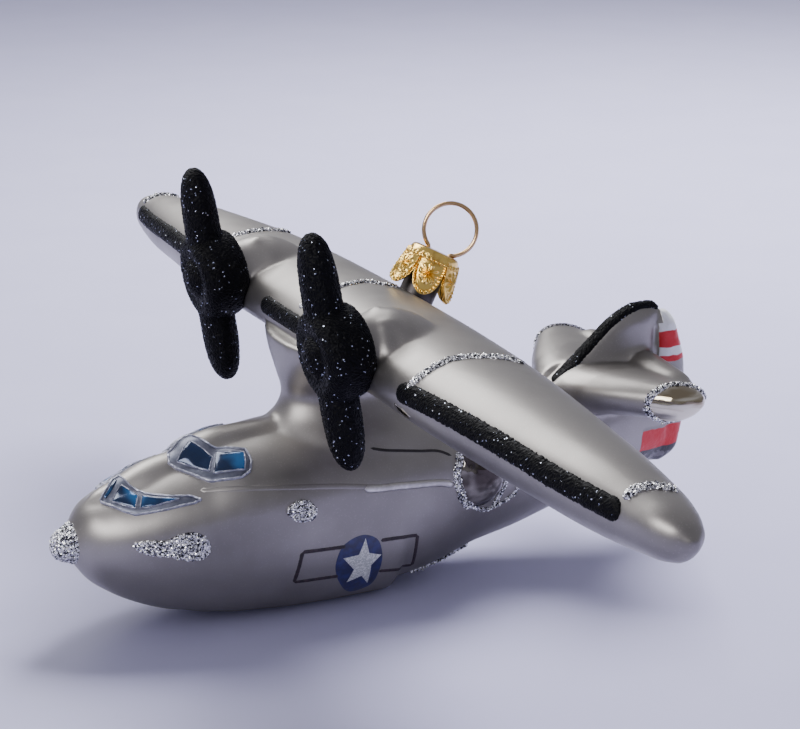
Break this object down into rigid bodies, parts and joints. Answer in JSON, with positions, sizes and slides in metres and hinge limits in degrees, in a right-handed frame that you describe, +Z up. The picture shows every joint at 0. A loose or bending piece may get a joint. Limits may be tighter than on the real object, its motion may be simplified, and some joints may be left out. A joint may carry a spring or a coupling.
{
  "type": "glass ornament of a flying boat",
  "caption": "Blown-glass tree ornament in the shape of a high-wing flying boat, with painted windows, glitter-edged wings and a metal cap carrying a wire ring.",
  "frame": {"origin": "on the table under the middle of the ornament's length, at the centre of its base", "axes": "+X to the port wing tip, -Y to the nose, +Z up"},
  "size_m": [0.232, 0.1369, 0.0794],
  "materials": {
    "silver_lacquer": "satin silver-grey lacquer over silvered glass",
    "silver_glitter": "glued silver glitter",
    "black_glitter": "glued black glitter",
    "silvered_glass": "bare silvered glass",
    "neck_lacquer": "satin silver-grey lacquer over glass",
    "rudder_enamel": "red and white enamel stripes",
    "blue_enamel": "gloss blue enamel",
    "gold_foil": "embossed gold foil",
    "copper_wire": "copper-coloured wire"
  },
  "bodies": {
    "ornament": {"hull_forebody": "silver_lacquer", "hull_afterbody": "silver_lacquer", "tail_cone": "silver_lacquer", "pylon": "silver_lacquer", "wing_centre": "silver_lacquer", "nacelle_port": "silver_lacquer", "nacelle_starboard": "silver_lacquer", "wing_panel_port": "silver_lacquer", "wing_panel_starboard": "silver_lacquer", "wing_tip_port": "silver_lacquer", "wing_tip_starboard": "silver_lacquer", "fin": "silver_lacquer", "stabiliser_port": "silver_lacquer", "stabiliser_starboard": "silver_lacquer", "nose_cone": "silver_glitter", "propeller_port": "black_glitter", "propeller_starboard": "black_glitter", "blister_port": "silvered_glass", "blister_starboard": "silvered_glass", "stabiliser_end_port": "silvered_glass", "stabiliser_end_starboard": "silvered_glass", "neck_tube": "neck_lacquer", "rudder": "rudder_enamel", "bow_windows": "blue_enamel", "cockpit_windows": "blue_enamel"},
    "cap": {"crown_cap": "gold_foil"},
    "ring": {"hanger_ring": "copper_wire"}
  },
  "joints": [
    {"name": "cap_turn", "type": "hinge", "parent": "ornament", "child": "cap", "pos_m": [0, 0.0111, 0.0652], "axis": [0, 0.4664, 0.8846], "continuous": true},
    {"name": "ring_tip", "type": "hinge", "parent": "cap", "child": "ring", "pos_m": [0.00019, 0.01133, 0.06482], "axis": [0.4431, 0.793, -0.4181], "range_deg": [-10, 10]}
  ]
}
